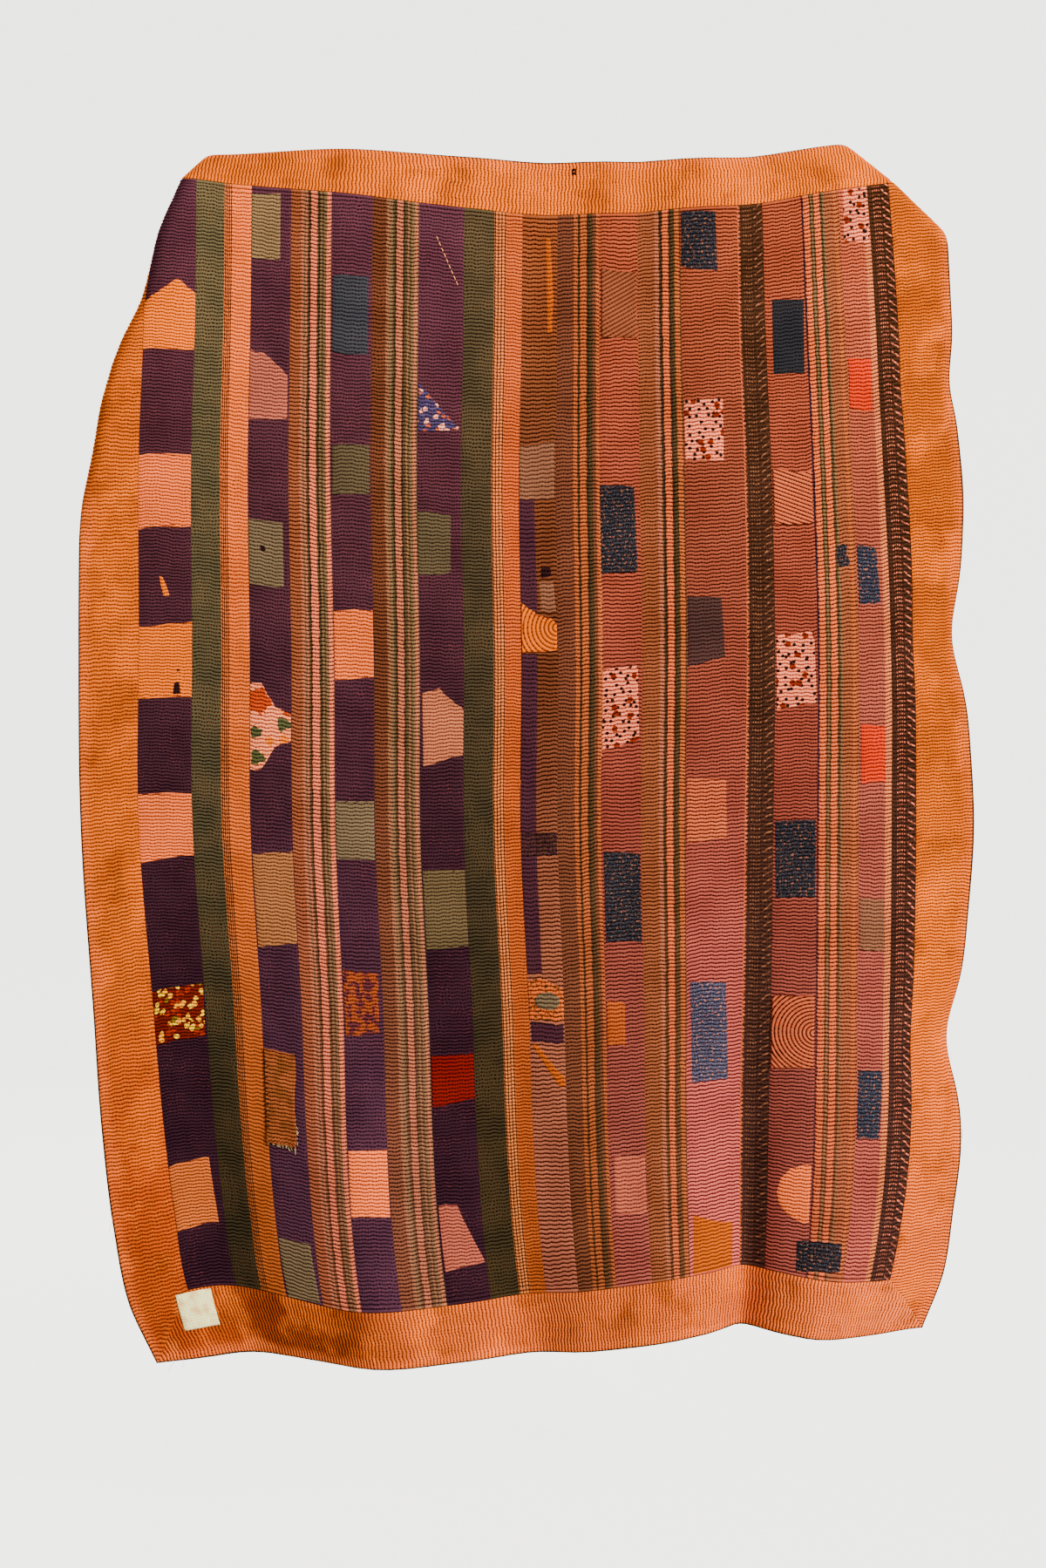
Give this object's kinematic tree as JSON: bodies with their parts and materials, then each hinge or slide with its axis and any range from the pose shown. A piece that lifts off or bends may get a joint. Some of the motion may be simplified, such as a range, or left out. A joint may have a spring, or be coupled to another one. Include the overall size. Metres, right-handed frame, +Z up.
{
  "type": "hanging patchwork quilt",
  "caption": "Stitched patchwork quilt of upright cotton strips in an orange border, hanging by its top edge.",
  "frame": {"origin": "middle of the top edge, where the hanging quilt is held", "axes": "+Z up the drop, +X along the width with the front facing -Y, +Y through the cloth to the back"},
  "size_m": [1.4869, 0.1917, 2.0369],
  "materials": {
    "orange": "washed cotton in running-stitch rows, mottled orange",
    "plum": "washed cotton in running-stitch rows, dark plum to violet",
    "olive": "washed cotton in running-stitch rows, dark olive",
    "check": "washed cotton, apricot with thin dark lines",
    "stripe": "washed cotton with pink, tan and olive stripes",
    "brown": "washed cotton, warm brown",
    "salmon": "washed cotton, rose to salmon",
    "dark_brown": "dark brown cotton with pale dots and dashes",
    "reverse": "plain dark cotton in running-stitch rows",
    "patch": "worn rust cotton with frayed end",
    "label": "plain cream cotton tape"
  },
  "bodies": {
    "root": {"strip_01_plum": "plum", "strip_02_olive": "olive", "strip_03_check": "check", "strip_04_plum": "plum", "strip_05_stripe": "stripe", "strip_06_plum": "plum", "strip_07_stripe": "stripe", "strip_08_plum": "plum", "strip_09_olive": "olive", "strip_10_check": "check", "strip_11_brown": "brown", "strip_12_stripe": "stripe", "strip_13_salmon": "salmon", "strip_14_stripe": "stripe", "strip_15_salmon": "salmon", "strip_16_dark": "dark_brown", "strip_17_salmon": "salmon", "strip_18_stripe": "stripe", "strip_19_salmon": "salmon", "strip_20_dark": "dark_brown", "border_left": "orange", "border_right": "orange", "border_top": "orange", "border_bottom": "orange", "backing": "reverse", "loose_patch": "patch", "blank_label": "label"}
  },
  "joints": []
}
